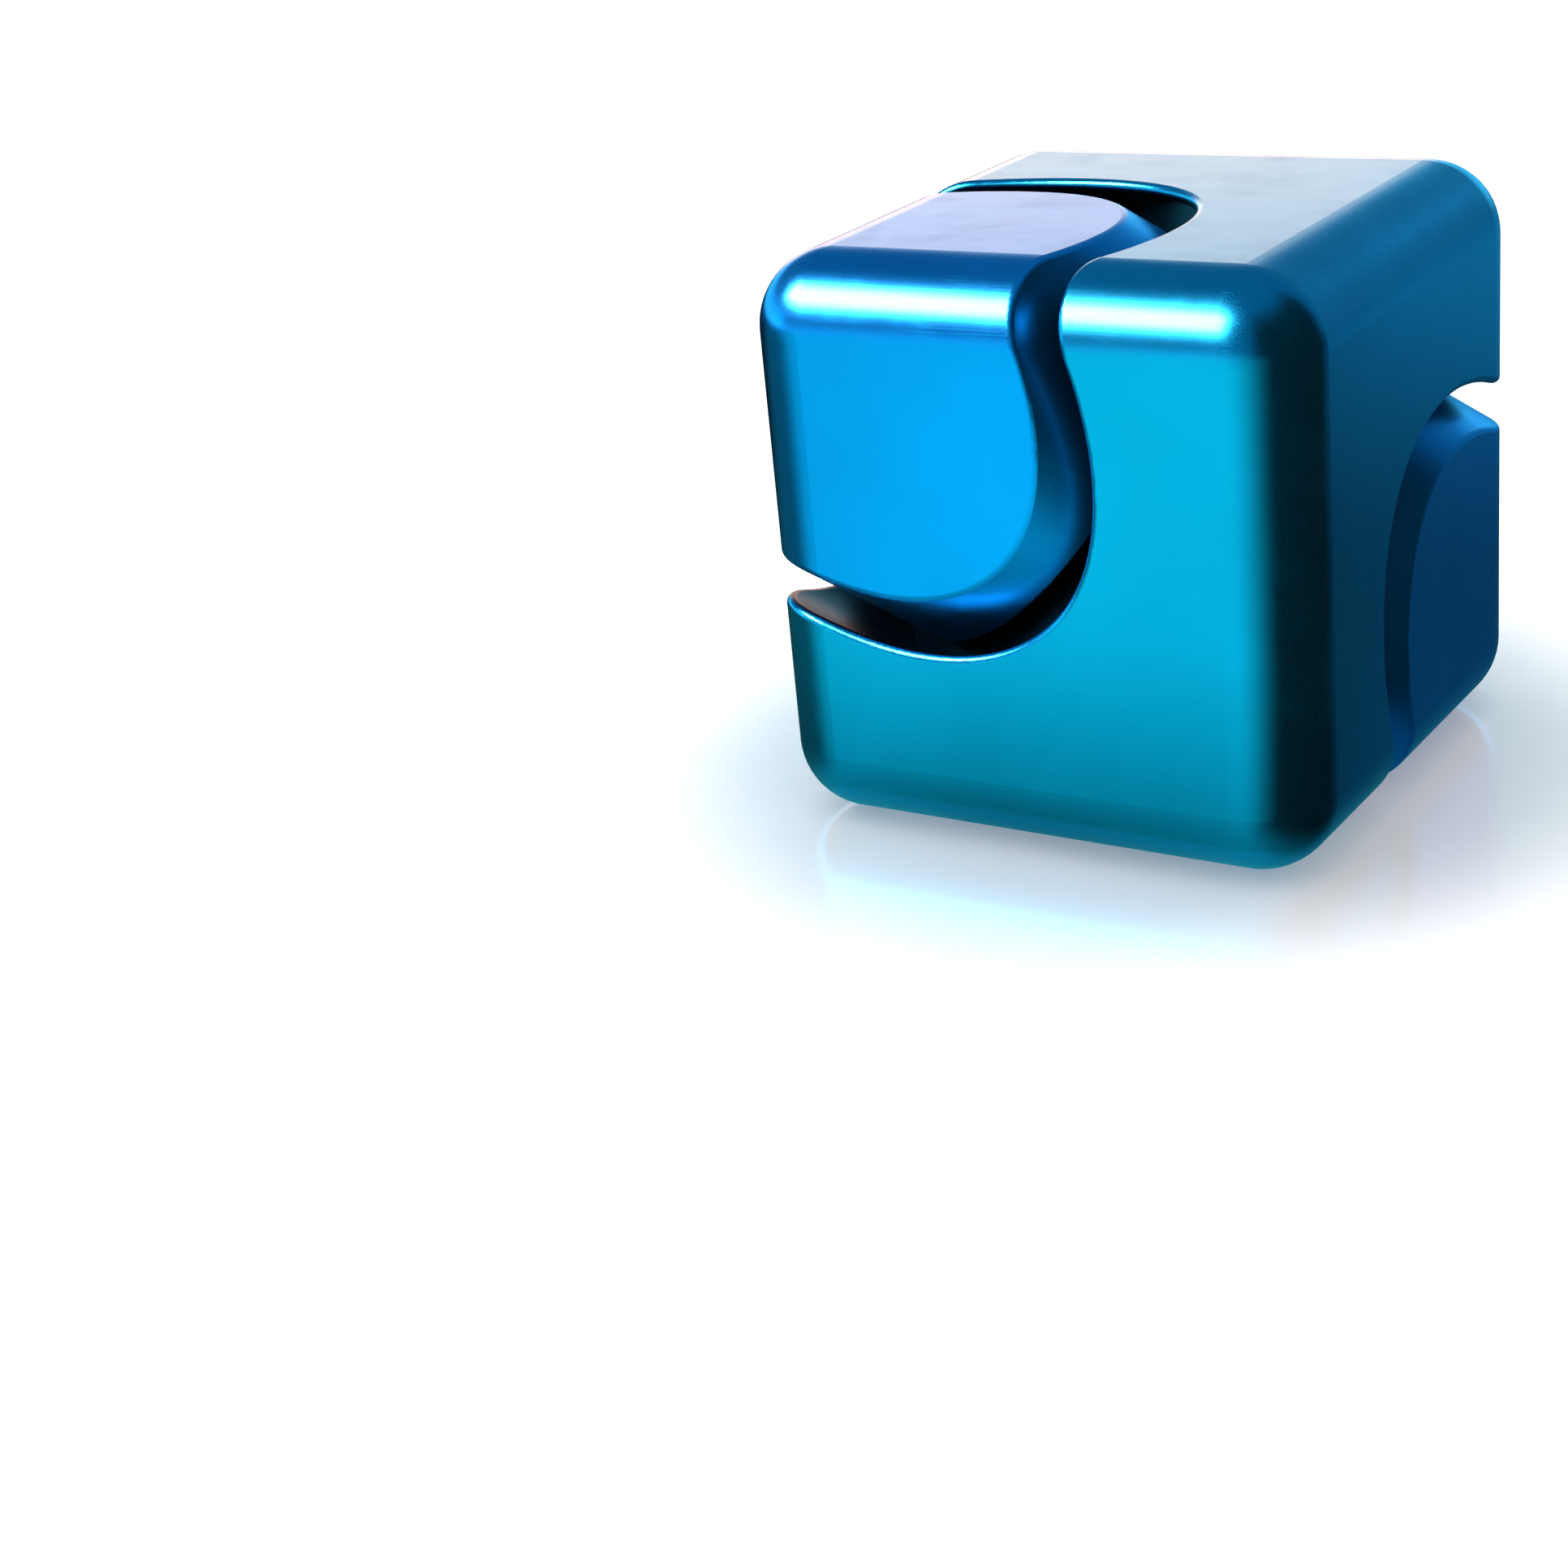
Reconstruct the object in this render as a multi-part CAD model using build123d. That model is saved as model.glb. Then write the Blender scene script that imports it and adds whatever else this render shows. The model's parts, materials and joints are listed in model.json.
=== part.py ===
"""A spinning fidget cube: a metal body that spins on a diagonal axle between two corner caps.

Millimetres, +Z up, the origin at the middle of the face that the cube stands on. The spin axis runs
through the cube's centre, from the front, left, top corner to the back, right, bottom corner.
"""

import os
from math import sqrt

from build123d import *

# ---------------------------------------------------------------- driving dimensions
CUBE = 26.0  # side of the closed cube
EDGE_ROUND = 3.4  # rounding of the cube's edges and corners

POCKET_R = 11.7  # round pocket in the body, coaxial with the spin axis
CAP_R = 10.25  # round side wall of a corner cap
POCKET_FLOOR = 5.0  # pocket floor, from the cube's centre along the axis
WASHER_T = 0.5  # washer between a bearing and its cap: the gap under the cap
BODY_LIP = 0.3  # rounding where a pocket meets the cube's faces
CAP_LIP = 0.4  # rounding where a cap's side wall meets the cube's faces
FOOT_CHAMFER = 0.3  # chamfer round a cap's underside

BEARING_BORE_R = 2.5  # 5 x 10 x 4 mm shielded ball bearing
BEARING_OUTER_R = 5.0
BEARING_W = 4.0
BALL_COUNT = 8
BALL_R = 1.5875 / 2
INNER_LAND_R = 3.15  # outside of the inner ring, beside its groove
OUTER_LAND_R = 4.35  # inside of the outer ring, beside its groove
GROOVE_R = 0.84  # radius of the ball groove's section
RACE_PLAY = 0.02  # gap between a ball and the bottom of a groove
RING_CHAMFER = 0.15
CAGE_HALF_WALL = 0.4
CAGE_BACK = 1.15  # closed side of the crown cage, from the balls' centres
CAGE_FRONT = 0.6  # open side of the crown cage, from the balls' centres
CAGE_PLAY = 0.06  # gap between a ball and its cage pocket
SHIELD_T = 0.2
SHIELD_SEAT_R = 4.65  # step in the outer ring that a shield sits on
SHIELD_SEAT_DEPTH = 0.62
SHIELD_PLAY = 0.08  # gap between a shield's hole and the inner ring
CLIP_WIRE_R = 0.13  # spring wire that holds a shield in
CLIP_GAP_DEG = 30.0

SHOULDER_R = 4.3  # hole through the rib between the two bearings
AXLE_R = 2.49
AXLE_PLAY = 0.03  # gap between the axle and its spacer and washers
SPACER_R = 3.1
WASHER_R = 3.1
AXLE_END_GAP = 0.05  # the axle's thick part stops this far short of each cap
THREAD_R = 2.0  # M4 thread
THREAD_ROOT_R = 1.57
THREAD_PITCH = 0.7
THREAD_TURNS = 9
NECK_LENGTH = 0.6  # thread relief beside the axle's shoulder
NECK_R = 1.5
TAP_DEPTH = 8.5  # depth of a cap's threaded hole
DRILL_POINT = 1.1  # cone at the bottom of that hole

# ---------------------------------------------------------------- derived dimensions
CENTRE = Vector(0, 0, CUBE / 2)
UP_AXIS = Vector(-1, -1, 1)
ACROSS = Vector(1, -1, 0)  # at right angles to the spin axis
CORNER_REACH = CUBE / 2 * sqrt(3)
CAP_UNDERSIDE = POCKET_FLOOR + WASHER_T
BEARING_MIDDLE = POCKET_FLOOR - BEARING_W / 2
RIB_HALF = POCKET_FLOOR - BEARING_W
PITCH_R = (BEARING_BORE_R + BEARING_OUTER_R) / 2
ENDS = {
    "upper": Plane(origin=CENTRE, x_dir=ACROSS, z_dir=UP_AXIS),
    "lower": Plane(origin=CENTRE, x_dir=ACROSS, z_dir=-UP_AXIS),
}


def disc(radius, low, high):
    """A solid cylinder on the local Z axis, from low to high."""
    return Pos(0, 0, low) * Cylinder(radius, high - low, align=(Align.CENTER, Align.CENTER, Align.MIN))


def tube(inner, outer, low, high, corner=0.0):
    """A ring on the local Z axis, with its outer corners chamfered."""
    points = [(inner, low), (outer - corner, low), (outer, low + corner)]
    points += [(outer, high - corner), (outer - corner, high), (inner, high)]
    corners_once = list(dict.fromkeys(points))
    return turned(Polyline(*corners_once, close=True))


def turned(outline):
    """A solid of revolution about local Z, from an outline of (radius, height)."""
    return revolve(Plane.XZ * make_face(outline), Axis.Z)


# ---------------------------------------------------------------- body and caps
def rounded_cube():
    """The whole cube's outside, standing on z = 0."""
    block = Pos(CENTRE) * Box(CUBE, CUBE, CUBE)
    return fillet(block.edges(), EDGE_ROUND)


def lip_edges(shape, frame, radius):
    """The edges where a coaxial cylinder of this radius cuts the cube's outside."""
    found = ShapeList()
    for edge in shape.edges():
        spots = [frame.to_local_coords(edge @ t) for t in (0.1, 0.5, 0.9)]
        on_wall = all(abs(sqrt(p.X**2 + p.Y**2) - radius) < 1e-3 for p in spots)
        tilted = max(p.Z for p in spots) - min(p.Z for p in spots) > 1e-3
        if on_wall and tilted and min(p.Z for p in spots) > CAP_UNDERSIDE:
            found.append(edge)
    return found


def spinning_body():
    """The block that spins: two corner pockets, and a seat for a bearing in each one's floor."""
    body = rounded_cube()
    for frame in ENDS.values():
        body -= frame * disc(POCKET_R, POCKET_FLOOR, CORNER_REACH)
        body -= frame * disc(BEARING_OUTER_R, RIB_HALF, POCKET_FLOOR)
    body -= ENDS["upper"] * disc(SHOULDER_R, -RIB_HALF, RIB_HALF)
    for frame in ENDS.values():
        body = fillet(lip_edges(body, frame, POCKET_R), BODY_LIP)
    return body


def corner_cap(frame):
    """A corner of the cube, cut round, with a threaded blind hole for the axle."""
    cap = rounded_cube() & frame * disc(CAP_R, CAP_UNDERSIDE, CORNER_REACH)
    cap = fillet(lip_edges(cap, frame, CAP_R), CAP_LIP)
    underside = cap.faces().sort_by(Axis(CENTRE, frame.z_dir))[0]
    cap = chamfer(underside.edges(), FOOT_CHAMFER)
    bottom = CAP_UNDERSIDE + TAP_DEPTH
    wall = [(THREAD_R, CAP_UNDERSIDE), (THREAD_R, bottom)]
    hole = Polyline((0, CAP_UNDERSIDE), *wall, (0, bottom + DRILL_POINT), close=True)
    return cap - frame * turned(hole)


# ---------------------------------------------------------------- axle
def axle():
    """A stud with a plain middle for the bearings and an M4 thread at each end."""
    shoulder = CAP_UNDERSIDE - AXLE_END_GAP
    outline = [(0, 0), (AXLE_R, 0), (AXLE_R, shoulder - RING_CHAMFER), (AXLE_R - RING_CHAMFER, shoulder)]
    outline += [(NECK_R, shoulder), (NECK_R, shoulder + NECK_LENGTH)]
    start = shoulder + NECK_LENGTH
    for turn in range(THREAD_TURNS):
        outline.append((THREAD_ROOT_R, start + turn * THREAD_PITCH))
        outline.append((THREAD_R, start + (turn + 0.5) * THREAD_PITCH))
    tip = start + THREAD_TURNS * THREAD_PITCH
    outline += [(THREAD_ROOT_R, tip), (0, tip)]
    half = turned(Polyline(*outline, close=True))
    return ENDS["upper"] * half + ENDS["lower"] * half


def spacer():
    """The sleeve that holds the two inner rings apart."""
    return ENDS["upper"] * tube(AXLE_R + AXLE_PLAY, SPACER_R, -RIB_HALF, RIB_HALF, RING_CHAMFER)


def washer():
    """The washer that lifts a cap off the pocket's floor."""
    return tube(AXLE_R + AXLE_PLAY, WASHER_R, POCKET_FLOOR, CAP_UNDERSIDE)


# ---------------------------------------------------------------- bearing, centred on its own middle
def groove(radius):
    """The round groove that the balls run in, as the solid to cut away."""
    return revolve(Plane.XZ * Pos(radius, 0) * Circle(GROOVE_R), Axis.Z)


def inner_ring():
    half = BEARING_W / 2
    ring = tube(BEARING_BORE_R, INNER_LAND_R, -half, half, RING_CHAMFER)
    return ring - groove(PITCH_R - BALL_R - RACE_PLAY + GROOVE_R)


def outer_ring():
    half = BEARING_W / 2
    ring = tube(OUTER_LAND_R, BEARING_OUTER_R, -half, half, RING_CHAMFER)
    ring -= groove(PITCH_R + BALL_R + RACE_PLAY - GROOVE_R)
    for side in (-1, 1):
        low, high = sorted((side * (half - SHIELD_SEAT_DEPTH), side * half))
        ring -= disc(SHIELD_SEAT_R, low, high)
    return ring


def balls():
    """One loose ball in each pocket of the cage."""
    return Part() + [loc * Sphere(BALL_R) for loc in PolarLocations(PITCH_R, BALL_COUNT)]


def cage():
    """A crown cage: closed at its back, with the ball pockets open at its front."""
    crown = tube(PITCH_R - CAGE_HALF_WALL, PITCH_R + CAGE_HALF_WALL, -CAGE_FRONT, CAGE_BACK)
    for loc in PolarLocations(PITCH_R, BALL_COUNT):
        crown -= loc * Sphere(BALL_R + CAGE_PLAY)
    return crown


def shield(side):
    """The thin cover on one side of a bearing, resting on the outer ring's step."""
    seat = BEARING_W / 2 - SHIELD_SEAT_DEPTH
    low, high = sorted((side * seat, side * (seat + SHIELD_T)))
    return tube(INNER_LAND_R + SHIELD_PLAY, SHIELD_SEAT_R, low, high)


def shield_clip(side):
    """The open ring of spring wire that holds a shield in."""
    height = side * (BEARING_W / 2 - SHIELD_SEAT_DEPTH + SHIELD_T + CLIP_WIRE_R)
    section = Plane.XZ * Pos(SHIELD_SEAT_R - CLIP_WIRE_R, height) * Circle(CLIP_WIRE_R)
    return revolve(section, Axis.Z, revolution_arc=360 - CLIP_GAP_DEG)


def bearing():
    """Every piece of one bearing by name. Its outer side faces its cap."""
    return {
        "bearing_outer_ring": outer_ring(),
        "bearing_inner_ring": inner_ring(),
        "bearing_balls": balls(),
        "bearing_cage": cage(),
        "bearing_outer_shield": shield(1),
        "bearing_inner_shield": shield(-1),
        "bearing_outer_clip": shield_clip(1),
        "bearing_inner_clip": shield_clip(-1),
    }


# ---------------------------------------------------------------- assembly
def assembly():
    """Every node of the cube by name, each one in its place."""
    nodes = {"spinning_body": spinning_body(), "axle": axle(), "bearing_spacer": spacer()}
    for end, frame in ENDS.items():
        nodes[f"{end}_corner_cap"] = corner_cap(frame)
        nodes[f"{end}_hub_washer"] = frame * washer()
        for name, piece in bearing().items():
            nodes[f"{end}_{name}"] = frame * Pos(0, 0, BEARING_MIDDLE) * piece
    return nodes


os.makedirs("parts", exist_ok=True)
for node, shape in assembly().items():
    export_step(shape, f"parts/{node}.step")
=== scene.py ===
"""The spinner cube in a small studio: plated metal materials, a pale floor, soft lights and the camera."""

import json
from math import cos, radians, sin

import bpy
from mathutils import Matrix, Vector


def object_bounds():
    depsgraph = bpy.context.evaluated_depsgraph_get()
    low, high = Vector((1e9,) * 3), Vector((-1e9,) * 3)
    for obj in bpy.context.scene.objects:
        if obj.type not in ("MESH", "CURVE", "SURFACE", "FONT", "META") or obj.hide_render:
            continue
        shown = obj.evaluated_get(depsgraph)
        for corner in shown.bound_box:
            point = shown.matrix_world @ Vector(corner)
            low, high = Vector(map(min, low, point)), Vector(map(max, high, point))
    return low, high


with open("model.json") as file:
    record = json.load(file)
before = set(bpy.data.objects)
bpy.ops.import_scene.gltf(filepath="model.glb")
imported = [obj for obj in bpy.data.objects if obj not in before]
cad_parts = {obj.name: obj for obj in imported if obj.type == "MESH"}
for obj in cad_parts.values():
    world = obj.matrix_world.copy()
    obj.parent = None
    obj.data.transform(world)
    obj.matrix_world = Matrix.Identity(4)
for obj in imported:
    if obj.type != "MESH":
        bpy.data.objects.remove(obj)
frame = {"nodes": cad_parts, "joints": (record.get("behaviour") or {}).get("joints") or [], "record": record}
CAD_LOW, CAD_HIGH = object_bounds()
SIDE = CAD_HIGH.x - CAD_LOW.x
HALF = SIDE / 2
CENTRE = (CAD_LOW + CAD_HIGH) / 2
SPIN_AXIS = Vector(next(j["axis"] for j in frame["joints"] if j["name"] == "core_spin"))
MM = 0.001

# ---------------------------------------------------------------- camera, angles in degrees
AZIMUTH = 26.45  # where the camera stands, round the cube from its front
ELEVATION = 17.66
DISTANCE = 5.0 * SIDE
AIM_ASIDE = 8.23  # the aim misses the cube's centre, so that the cube sits in the frame's upper right
AIM_UP = 5.41
ROLL = -5.92
LENS = 64.74
SENSOR = 36.0
NEAREST, FURTHEST = 0.005, 10.0  # what the camera can see, in metres

# ---------------------------------------------------------------- plated metal, lengths in millimetres
BODY_BLUE = (0.004, 0.485, 0.81)  # linear, as all colours here
CAP_BLUE = (0.004, 0.43, 1.0)
POLISH = 0.22  # roughness of the polished metal
COAT_WEIGHT = 0.2  # of the clear lacquer over the plating
COAT_IOR = 1.45

CLOUD_SIZE = 9.0  # of the patches of thinner plating
CLOUD_EDGE = (0.35, 0.65)  # an EDGE is the two values of a noise between which its mask rises
THIN_TINT = 0.94  # the tint's strength in them
SMUDGE_SIZE = 3.5
SMUDGE_EDGE = (0.45, 0.75)
SMUDGE_ROUGHNESS = 0.05  # the most that a smudge adds

SCRATCH_SETS = (  # the turn as three angles in radians, then a scratch's length and width
    ((0.3, 0.9, 0.4), 6.0, 0.05),
    ((1.1, 0.2, 1.9), 8.0, 0.06),
)
SCRATCH_EDGE = (0.66, 0.74)
SCRATCH_ROUGHNESS = 0.05
SCRATCH_STRENGTH = 0.08
SCRATCH_DEPTH = 0.004
RIPPLE_SIZE = 2.2
RIPPLE_STRENGTH = 0.25
RIPPLE_DEPTH = 0.02

POCKET_R = 11.75  # everything of the body nearer to the spin axis is inside a pocket
POCKET_FADE = 0.2  # width over which the polish ends and the painted shade sets in
POCKET_PAINTED_SHADE = 0.04  # the tint's strength inside, a painted shade that makes the recess look dark as if it lay in shadow
POCKET_ROUGHNESS = 0.12  # what is added inside
CAP_WALL_R = 10.1  # everything of a cap further from the spin axis is its round side wall
CAP_WALL_FADE = 0.1
CAP_WALL_ROUGHNESS = 0.1  # what is added on the side wall

# ---------------------------------------------------------------- bare metal and nylon, in millimetres
GRAIN_SIZE = 0.08
GRAIN_EDGE = (0.3, 0.7)
GRAIN_ROUGHNESS = (0.7, 1.4)  # times the metal's own roughness
GRAIN_STRENGTH = 0.2
GRAIN_DEPTH = 0.01
STAIN_SIZE = 1.5
STAIN_EDGE = (0.3, 0.7)
STAIN_TINT = 0.8  # the tint's strength where the stain is darkest
NYLON_DARK = (0.62, 0.59, 0.50)
NYLON_PALE = (0.80, 0.78, 0.70)
NYLON_ROUGHNESS = 0.45
MOTTLE_SIZE = 0.4
MOTTLE_STRENGTH = 0.3
MOTTLE_DEPTH = 0.01

# ---------------------------------------------------------------- floor
FLOOR_SIZE = 4.0
FLOOR_DROP = 0.05 * MM  # below the cube, so that the two faces don't flicker
PAPER_WHITE = (0.80, 0.80, 0.80)
PAPER_ROUGHNESS = 0.6
PAPER_GLOW = 0.45
GLOSS_SHARE = 0.5  # how much of the floor's look is gloss, close round the cube
GLOSS_ZONE = (16, 31)  # it fades out between these distances from the cube's middle, in millimetres
GLOSS_TINT = (0.75, 1.0, 1.0)
GLOSS_ROUGHNESS = 0.17

# The card is what the metal mirrors of the floor in front of the cube.
CARD_LIGHT = (0.1, 1.0, 1.0)
CARD_END = 10 * MM  # its sides start beside the middle of the front face, this far to the right and left
CARD_RIGHT = (-58, 10)  # degrees from straight ahead towards the left, between which it fades in
CARD_LEFT = (20, 72)  # the same for its left side, where it fades down to CARD_LEAST
CARD_LEAST = 0.12
CARD_BACK = 30 * MM  # it fades from the front face to this far behind the cube's middle
CARD_START = 5  # it is dark up to this distance from the cube's middle, in millimetres
CARD_RAMP = 38  # and reaches its full brightness over this length
LEAST_AHEAD = 4 * MM  # what lies beside or behind the front face counts as this far in front of it

# The beam is what it mirrors of the floor behind.
BEAM_LIGHT = (0.05, 0.6, 1.0)
BEAM_HALF = 11 * MM  # half its width
BEAM_SPREAD = (15, 42)  # degrees aslant from it, between which it fades to BEAM_LEAST
BEAM_LEAST = 0.02
BEAM_REACH = (30, 120)  # distances in millimetres between which it brightens
BEAM_RISE = (0.10, 0.42)

# ---------------------------------------------------------------- mirrored room
# Heights are degrees above the horizon. Directions are degrees towards the left, from the front unless
# the comment says from the back. A band is its two ends and the width over which it fades outside them.
# The blue metal has almost no red of its own, so what should look white or pale in it is lit strongly red.
SOFTBOX = {"height": (36, 47, 8), "across": (22, 66, 6), "light": (100.0, 34.0, 34.0)}
WARM_WALL = {"height": (-90, 8, 10), "across": (22.5, 42, 9), "light": (3.0, 0.85, 0.1)}  # from the back
BLUE_WALL = {"height": (-90, 10, 12), "across": (-4, 115, 16), "light": (0.12, 0.75, 0.95)}  # from the back
HORIZON_LIGHT = (0.6, 0.8, 1.0)
HORIZON_ACROSS = (20, 60, 50)
HORIZON_GLOW = (-2, 12)  # heights between which it fades to HORIZON_LEAST
HORIZON_LEAST = 0.1
HORIZON_TOP = (24, 55)  # heights between which the rest of it ends
DARK_ACROSS = (-132, -40, 18)
DARK_TOP = (40, 70)  # heights between which the dark side ends
DARKEST = 0.97
HAZE_LIGHT = (0.03, 0.17, 0.29)

# ---------------------------------------------------------------- overhead light
OVERHEAD_SIZE = 0.8
OVERHEAD_POWER = 2.0
OVERHEAD_PLACE = Vector((-0.15, -0.1, 0.6))


# ---------------------------------------------------------------- node helpers
class Nodes:
    """A short way to add and join the nodes of one node tree."""

    def __init__(self, tree):
        self.tree = tree
        tree.nodes.clear()

    def add(self, kind, settings=None, **inputs):
        """A node with its settings and inputs. An input's name has _ in place of each space."""
        node = self.tree.nodes.new(kind)
        for name, value in (settings or {}).items():
            setattr(node, name, value)
        for name, value in inputs.items():
            self.put(node, name.replace("_", " "), value)
        return node

    def put(self, node, which, value):
        """Sets an input, by name or number, to a value or to another node's output."""
        socket = node.inputs[which]
        if isinstance(value, bpy.types.NodeSocket):
            self.tree.links.new(value, socket)
        else:
            socket.default_value = value

    def math(self, operation, a, b=0.0):
        node = self.add("ShaderNodeMath", {"operation": operation})
        self.put(node, 0, a)
        self.put(node, 1, b)
        return node.outputs[0]

    def vector_math(self, operation, *values):
        """The node itself, because some operations give a vector and others a number."""
        node = self.add("ShaderNodeVectorMath", {"operation": operation})
        for number, value in enumerate(values):
            self.put(node, number, value)
        return node

    def smooth(self, value, low, high, to_low=0.0, to_high=1.0):
        """Runs smoothly from to_low to to_high as value goes from low to high."""
        node = self.add("ShaderNodeMapRange", {"interpolation_type": "SMOOTHSTEP"}, Value=value)
        for name, number in (("From Min", low), ("From Max", high), ("To Min", to_low), ("To Max", to_high)):
            self.put(node, name, number)
        return node.outputs["Result"]

    def band(self, value, low, high, soft):
        """1 between low and high, fading to 0 over the width soft outside each."""
        rise = self.smooth(value, low - soft, low)
        fall = self.smooth(value, high, high + soft, 1.0, 0.0)
        return self.math("MULTIPLY", rise, fall)

    def tinted(self, amount, colour):
        """A colour scaled by an amount."""
        node = self.vector_math("SCALE", colour)
        self.put(node, "Scale", amount)
        return node.outputs[0]

    def total(self, *colours):
        """The sum of several colours."""
        out = colours[0]
        for colour in colours[1:]:
            out = self.vector_math("ADD", out, colour).outputs[0]
        return out

    def blend(self, factor, first, second):
        """The first colour where factor is 0, and the second where it is 1."""
        node = self.add("ShaderNodeMix", {"data_type": "RGBA"}, Factor=factor, A=first, B=second)
        return node.outputs["Result"]

    def mix_shaders(self, factor, first, second):
        """The first shader where factor is 0, and the second where it is 1."""
        node = self.add("ShaderNodeMixShader", Fac=factor)
        self.put(node, 1, first.outputs[0])
        self.put(node, 2, second.outputs[0])
        return node

    def bump(self, height, strength, depth, settings=None):
        """A node for a relief of that depth in millimetres."""
        return self.add("ShaderNodeBump", settings, Strength=strength, Distance=depth * MM, Height=height)

    def noise(self, vector, size, detail=2.0, roughness=0.5):
        """A noise texture with its pattern's size given in millimetres."""
        scale = 1 / (size * MM)
        node = self.add("ShaderNodeTexNoise", Vector=vector, Scale=scale, Detail=detail, Roughness=roughness)
        return node.outputs["Fac"]

    def place(self):
        """Where a point is, in metres, in the frame that all CAD nodes share."""
        return self.add("ShaderNodeTexCoord").outputs["Object"]

    def is_glossy_ray(self):
        """1 for the rays that glossy surfaces send out, and 0 for all others."""
        return self.add("ShaderNodeLightPath").outputs["Is Glossy Ray"]

    def output(self, kind, shader):
        """Ends the tree in an output node of that kind, which shows the shader."""
        self.add(kind, Surface=shader.outputs[0])


def new_material(name):
    material = bpy.data.materials.new(name)
    material.use_nodes = True
    return material, Nodes(material.node_tree)


def shade(colour, strength=1.0):
    """A colour at that strength, opaque."""
    return (*[channel * strength for channel in colour], 1)


# ---------------------------------------------------------------- plated metal
def scratches(n, where, turn, length, width):
    """Fine straight scratches in one direction, as a mask."""
    scale = (1 / (length * MM), 1 / (width * MM), 1 / (width * MM))
    turned = n.add("ShaderNodeMapping", Vector=where, Rotation=turn, Scale=scale)
    node = n.add("ShaderNodeTexNoise", Vector=turned.outputs[0], Scale=1.0, Detail=1.0)
    return n.smooth(node.outputs["Fac"], *SCRATCH_EDGE)


def distance_from_axis(n, where):
    """How far a point is from the spin axis, in millimetres."""
    spoke = n.vector_math("SUBTRACT", where, CENTRE)
    across = n.vector_math("CROSS_PRODUCT", spoke.outputs[0], SPIN_AXIS)
    length = n.vector_math("LENGTH", across.outputs[0])
    return n.math("DIVIDE", length.outputs["Value"], MM)


def surface_marks(n, where):
    """The mask of all scratches, and the polished metal's roughness with scratches and smudges."""
    marks = n.math("MAXIMUM", *[scratches(n, where, *each) for each in SCRATCH_SETS])
    smudge = n.noise(where, SMUDGE_SIZE, detail=5.0, roughness=0.6)
    smudged = n.smooth(smudge, *SMUDGE_EDGE, 0.0, SMUDGE_ROUGHNESS)
    rough = n.math("ADD", n.math("MULTIPLY", marks, SCRATCH_ROUGHNESS), smudged)
    return marks, n.math("ADD", rough, POLISH)


def plated_metal(name, tint, has_pocket=False, has_side_wall=False):
    """Polished metal under a transparent coloured plating: faint waviness, fine scratches and smudges.

    A body's pockets are rough and without lacquer, and their colour is darkened as painted shade. A cap's
    side wall is satin.
    """
    material, n = new_material(name)
    where = n.place()
    cloud = n.noise(where, CLOUD_SIZE, detail=3.0)
    colour = n.blend(n.smooth(cloud, *CLOUD_EDGE), shade(tint, THIN_TINT), shade(tint))
    marks, rough = surface_marks(n, where)
    coat = COAT_WEIGHT
    if has_side_wall:
        satin = n.smooth(distance_from_axis(n, where), CAP_WALL_R, CAP_WALL_R + CAP_WALL_FADE)
        rough = n.math("ADD", rough, n.math("MULTIPLY", satin, CAP_WALL_ROUGHNESS))
    if has_pocket:
        inside = n.smooth(distance_from_axis(n, where), POCKET_R, POCKET_R + POCKET_FADE, 1.0, 0.0)
        # painted shade: inside a pocket the plating's colour is darkened almost to black, as if it lay in
        # shadow
        colour = n.blend(inside, colour, shade(tint, POCKET_PAINTED_SHADE))
        rough = n.math("ADD", rough, n.math("MULTIPLY", inside, POCKET_ROUGHNESS))
        coat = n.math("MULTIPLY", n.math("SUBTRACT", 1.0, inside), COAT_WEIGHT)
    ripple = n.bump(n.noise(where, RIPPLE_SIZE, detail=1.0), RIPPLE_STRENGTH, RIPPLE_DEPTH)
    scored = n.bump(marks, SCRATCH_STRENGTH, SCRATCH_DEPTH, settings={"invert": True})
    n.put(scored, "Normal", ripple.outputs[0])
    shader = n.add(
        "ShaderNodeBsdfPrincipled",
        Base_Color=colour,
        Metallic=1.0,
        Roughness=rough,
        Normal=scored.outputs[0],
        Coat_Weight=coat,
        Coat_Roughness=POLISH,
        Coat_IOR=COAT_IOR,
    )
    n.output("ShaderNodeOutputMaterial", shader)
    return material


# ---------------------------------------------------------------- the other materials
def turned_metal(name, tint, rough):
    """Bare metal from a lathe or a grinder, with fine marks and oil stains."""
    material, n = new_material(name)
    where = n.place()
    grain = n.noise(where, GRAIN_SIZE, detail=3.0)
    stain = n.noise(where, STAIN_SIZE, detail=4.0)
    smoothest, roughest = (rough * share for share in GRAIN_ROUGHNESS)
    shader = n.add(
        "ShaderNodeBsdfPrincipled",
        Base_Color=n.blend(n.smooth(stain, *STAIN_EDGE), shade(tint, STAIN_TINT), shade(tint)),
        Metallic=1.0,
        Roughness=n.smooth(grain, *GRAIN_EDGE, smoothest, roughest),
        Normal=n.bump(grain, GRAIN_STRENGTH, GRAIN_DEPTH).outputs[0],
    )
    n.output("ShaderNodeOutputMaterial", shader)
    return material


def moulded_nylon(name):
    """Off-white nylon, slightly mottled, for the bearing cages."""
    material, n = new_material(name)
    mottle = n.noise(n.place(), MOTTLE_SIZE, detail=4.0)
    shader = n.add(
        "ShaderNodeBsdfPrincipled",
        Base_Color=n.blend(mottle, shade(NYLON_DARK), shade(NYLON_PALE)),
        Roughness=NYLON_ROUGHNESS,
        Normal=n.bump(mottle, MOTTLE_STRENGTH, MOTTLE_DEPTH).outputs[0],
    )
    n.output("ShaderNodeOutputMaterial", shader)
    return material


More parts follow.
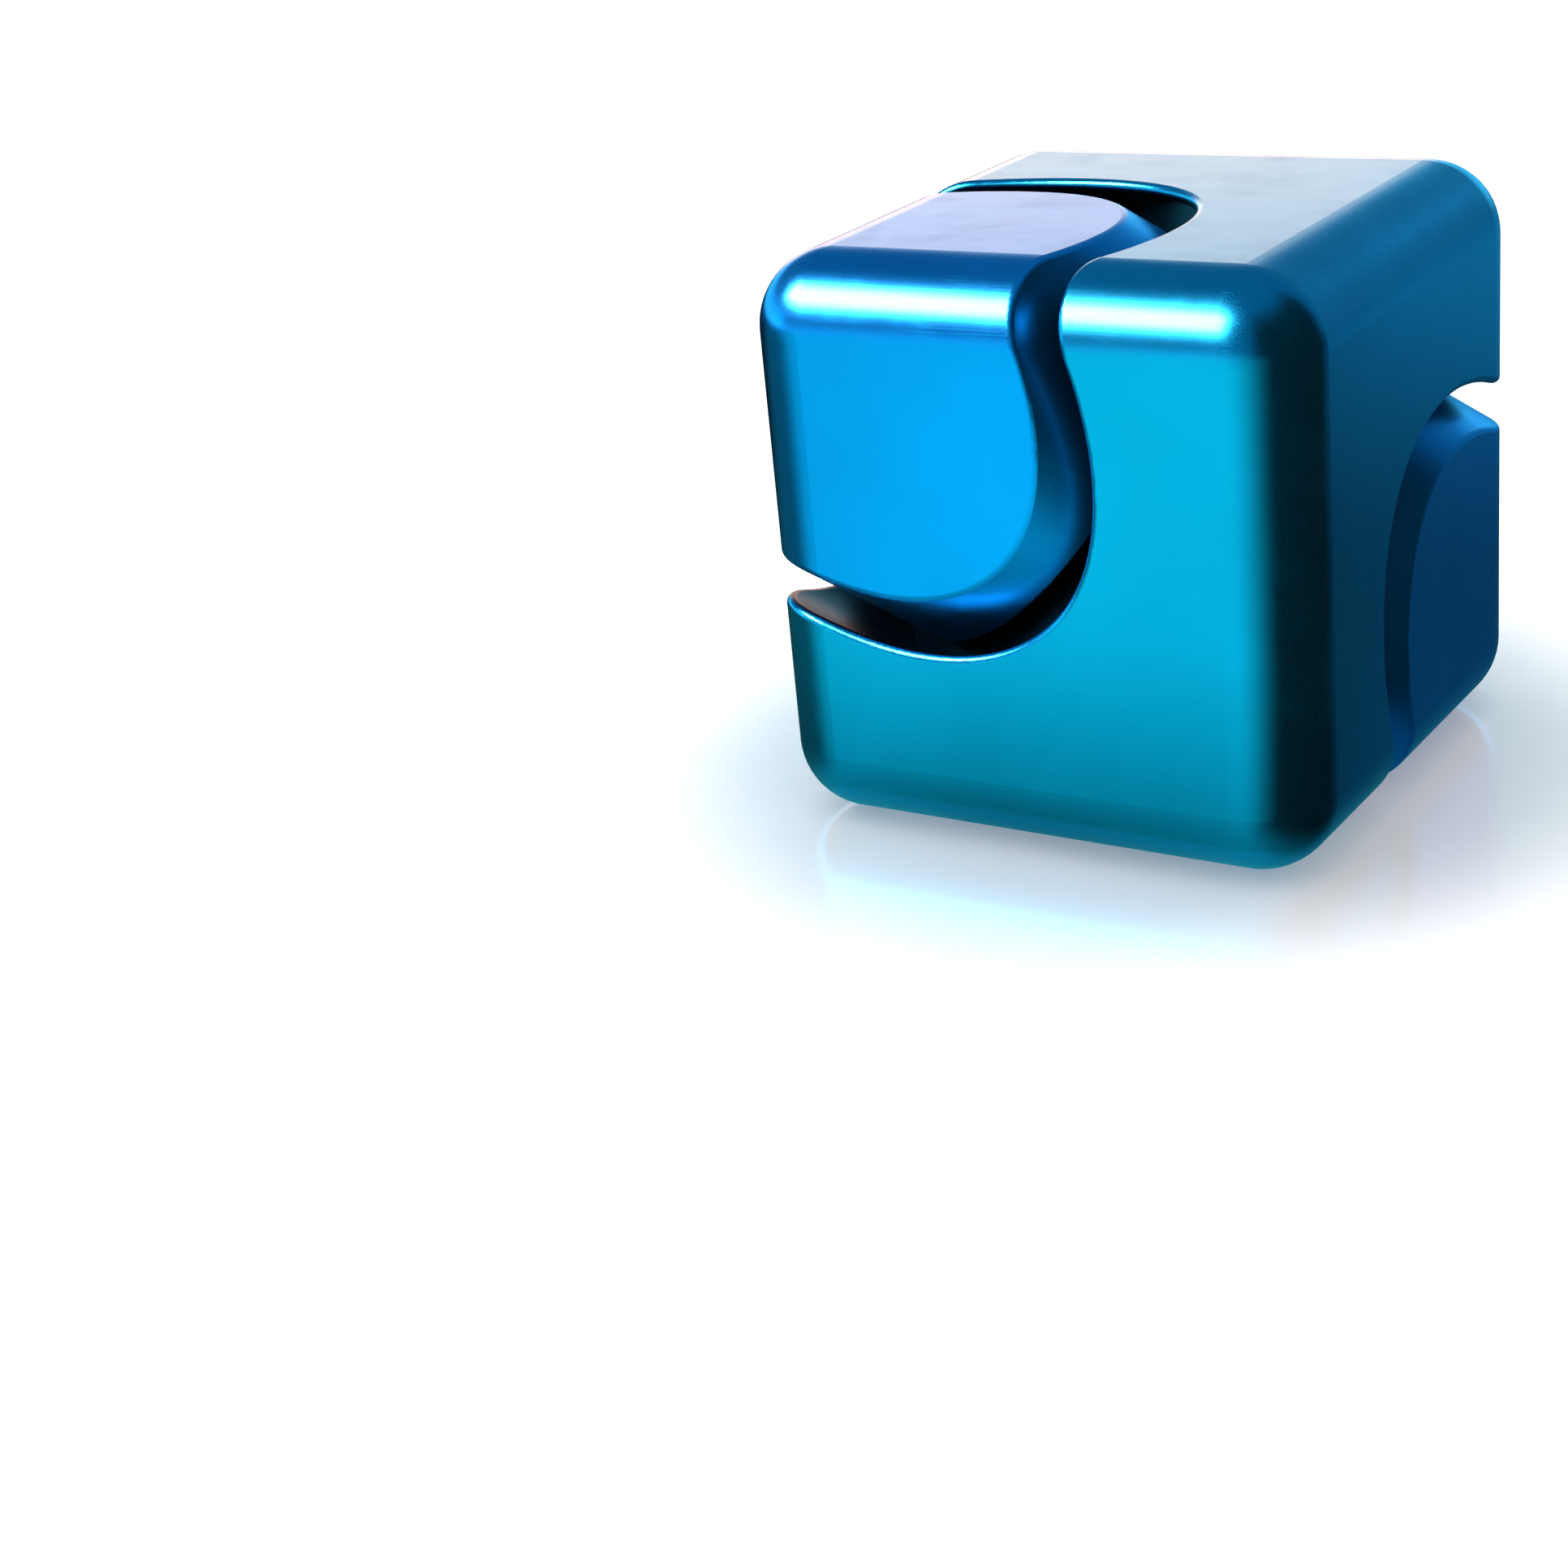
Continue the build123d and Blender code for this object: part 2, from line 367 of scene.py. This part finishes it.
def dress():
    """Gives every CAD node the material of its slot."""
    materials = {
        "body_metal": plated_metal("plated_body", BODY_BLUE, has_pocket=True),
        "cap_metal": plated_metal("plated_cap", CAP_BLUE, has_side_wall=True),
        "axle_steel": turned_metal("turned_steel", (0.56, 0.56, 0.57), rough=0.25),
        "washer_brass": turned_metal("stamped_brass", (0.80, 0.60, 0.26), rough=0.30),
        "bearing_rings": turned_metal("ground_steel", (0.62, 0.63, 0.65), rough=0.15),
        "bearing_balls": turned_metal("ball_steel", (0.80, 0.81, 0.82), rough=0.05),
        "bearing_cage": moulded_nylon("cage_nylon"),
        "bearing_shields": turned_metal("pressed_steel", (0.60, 0.60, 0.60), rough=0.35),
        "bearing_clips": turned_metal("spring_steel", (0.45, 0.45, 0.46), rough=0.30),
    }
    for part in frame["record"]["subparts"]:
        mesh = frame["nodes"][part["node"]].data
        mesh.materials.clear()
        mesh.materials.append(materials[part["material_slot"]])


# ---------------------------------------------------------------- floor
def bearing_from(n, x, y, end):
    """The direction from x = end on the front face, in degrees from straight ahead towards the left."""
    aside = n.math("SUBTRACT", end, x)
    ahead = n.math("MAXIMUM", n.math("SUBTRACT", -HALF, y), LEAST_AHEAD)
    return n.math("DEGREES", n.math("ARCTAN2", aside, ahead))


def card_in_front(n, x, y, away):
    """How bright the mirrored floor is in front of the cube: dark to the right, and brighter further out."""
    sector = n.math(
        "MULTIPLY",
        n.smooth(bearing_from(n, x, y, CARD_END), *CARD_RIGHT),
        n.smooth(bearing_from(n, x, y, -CARD_END), *CARD_LEFT, 1.0, CARD_LEAST),
    )
    in_front = n.math("MULTIPLY", sector, n.smooth(y, -HALF, CARD_BACK, 1.0, 0.0))
    ramp = n.math("DIVIDE", n.math("SUBTRACT", away, CARD_START), CARD_RAMP)
    return n.math("MULTIPLY", in_front, n.math("MINIMUM", n.math("MAXIMUM", ramp, 0.0), 1.0))


def beam_behind(n, x, y, away):
    """How bright the mirrored floor is behind the cube: a beam straight back that fades to both sides."""
    beside = n.math("MAXIMUM", n.math("SUBTRACT", n.math("ABSOLUTE", x), BEAM_HALF), 0.0)
    aslant = n.math("DEGREES", n.math("ARCTAN2", beside, n.math("ADD", y, HALF)))
    across = n.smooth(aslant, *BEAM_SPREAD, 1.0, BEAM_LEAST)
    return n.math("MULTIPLY", across, n.smooth(away, *BEAM_REACH, *BEAM_RISE))


def floor_material():
    """White paper, glossy close round the cube. The metal mirrors the card and the beam on it."""
    material, n = new_material("studio_floor")
    spot = n.add("ShaderNodeSeparateXYZ", Vector=n.place())
    x, y = spot.outputs["X"], spot.outputs["Y"]
    squares = n.math("ADD", n.math("MULTIPLY", x, x), n.math("MULTIPLY", y, y))
    away = n.math("DIVIDE", n.math("SQRT", squares), MM)
    mirrored = n.total(
        n.tinted(card_in_front(n, x, y, away), CARD_LIGHT),
        n.tinted(beam_behind(n, x, y, away), BEAM_LIGHT),
    )
    glow = n.add("ShaderNodeEmission", Color=mirrored, Strength=1.0)
    paper = n.add(
        "ShaderNodeBsdfPrincipled",
        Base_Color=shade(PAPER_WHITE),
        Roughness=PAPER_ROUGHNESS,
        Specular_IOR_Level=0.0,
        Emission_Color=(1.0, 1.0, 1.0, 1.0),
        Emission_Strength=PAPER_GLOW,
    )
    polish = n.add("ShaderNodeBsdfGlossy", Color=shade(GLOSS_TINT), Roughness=GLOSS_ROUGHNESS)
    surface = n.mix_shaders(n.smooth(away, *GLOSS_ZONE, GLOSS_SHARE, 0.0), paper, polish)
    n.output("ShaderNodeOutputMaterial", n.mix_shaders(n.is_glossy_ray(), surface, glow))
    return material


def make_floor():
    half = FLOOR_SIZE / 2
    corners = [(-half, -half, 0), (half, -half, 0), (half, half, 0), (-half, half, 0)]
    mesh = bpy.data.meshes.new("floor")
    mesh.from_pydata(corners, [], [(0, 1, 2, 3)])
    floor = bpy.data.objects.new("floor", mesh)
    bpy.context.scene.collection.objects.link(floor)
    floor.location.z = CAD_LOW.z - FLOOR_DROP
    mesh.materials.append(floor_material())


# ---------------------------------------------------------------- world and light
def patch(n, height, direction, card):
    """A soft-edged rectangle of light in the room."""
    amount = n.math("MULTIPLY", n.band(height, *card["height"]), n.band(direction, *card["across"]))
    return n.tinted(amount, card["light"])


def mirrored_room(n):
    """What the metal mirrors, which nothing else sees.

    A softbox and a glow along the horizon are at the front left. Two low walls, one warm and one blue, are at
    the back. A bluish haze is all round, but not at the right, where it is dark.
    """
    way = n.add("ShaderNodeSeparateXYZ", Vector=n.add("ShaderNodeTexCoord").outputs["Generated"])
    x, y, z = (way.outputs[name] for name in "XYZ")
    left = n.math("MULTIPLY", x, -1.0)
    from_front = n.math("DEGREES", n.math("ARCTAN2", left, n.math("MULTIPLY", y, -1.0)))
    from_back = n.math("DEGREES", n.math("ARCTAN2", left, y))
    height = n.math("DEGREES", n.math("ARCSINE", z))
    low_glow = n.smooth(height, *HORIZON_GLOW, 1.0, HORIZON_LEAST)
    horizon = n.math("MULTIPLY", low_glow, n.band(from_front, *HORIZON_ACROSS))
    below_top = n.smooth(height, *HORIZON_TOP, 1.0, 0.0)
    not_too_high = n.smooth(height, *DARK_TOP, DARKEST, 0.0)
    dark_side = n.math("MULTIPLY", n.band(from_front, *DARK_ACROSS), not_too_high)
    return n.total(
        patch(n, height, from_front, SOFTBOX),
        n.tinted(n.math("MULTIPLY", horizon, below_top), HORIZON_LIGHT),
        patch(n, height, from_back, WARM_WALL),
        patch(n, height, from_back, BLUE_WALL),
        n.tinted(n.math("SUBTRACT", 1.0, dark_side), HAZE_LIGHT),
    )


def make_world():
    """Soft white light from everywhere for the floor, and the mirrored room for everything glossy."""
    world = bpy.data.worlds.new("studio")
    bpy.context.scene.world = world
    world.use_nodes = True
    n = Nodes(world.node_tree)
    dome = n.add("ShaderNodeBackground", Color=(1.0, 1.0, 1.0, 1.0), Strength=1.0)
    room = n.add("ShaderNodeBackground", Color=mirrored_room(n), Strength=1.0)
    n.output("ShaderNodeOutputWorld", n.mix_shaders(n.is_glossy_ray(), dome, room))


def make_overhead_light():
    """A wide soft light that gives the shadow. The metal doesn't mirror it."""
    data = bpy.data.lights.new("overhead", "AREA")
    data.shape = "RECTANGLE"
    data.size = OVERHEAD_SIZE
    data.size_y = OVERHEAD_SIZE
    data.energy = OVERHEAD_POWER
    light = bpy.data.objects.new("overhead", data)
    bpy.context.scene.collection.objects.link(light)
    light.location = OVERHEAD_PLACE
    light.rotation_euler = (-OVERHEAD_PLACE).to_track_quat("-Z", "Y").to_euler()
    light.visible_glossy = False


# ---------------------------------------------------------------- camera
def toward(azimuth, elevation):
    """The direction from the cube to a place at that azimuth and elevation, in degrees."""
    a, e = radians(azimuth), radians(elevation)
    return Vector((sin(a) * cos(e), -cos(a) * cos(e), sin(e)))


def make_camera():
    data = bpy.data.cameras.new("camera")
    data.lens = LENS
    data.sensor_width = SENSOR
    data.clip_start = NEAREST
    data.clip_end = FURTHEST
    camera = bpy.data.objects.new("camera", data)
    bpy.context.scene.collection.objects.link(camera)
    backward = toward(AZIMUTH + AIM_ASIDE, ELEVATION + AIM_UP)
    right = (-backward).cross(Vector((0, 0, 1))).normalized()
    up = right.cross(-backward)
    c, s = cos(radians(ROLL)), sin(radians(ROLL))
    axes = Matrix((c * right + s * up, c * up - s * right, backward)).transposed()
    place = CENTRE + toward(AZIMUTH, ELEVATION) * DISTANCE
    camera.matrix_world = Matrix.Translation(place) @ axes.to_4x4()
    bpy.context.scene.camera = camera


dress()
make_floor()
make_world()
make_overhead_light()
make_camera()
bpy.context.scene.view_settings.view_transform = "Standard"
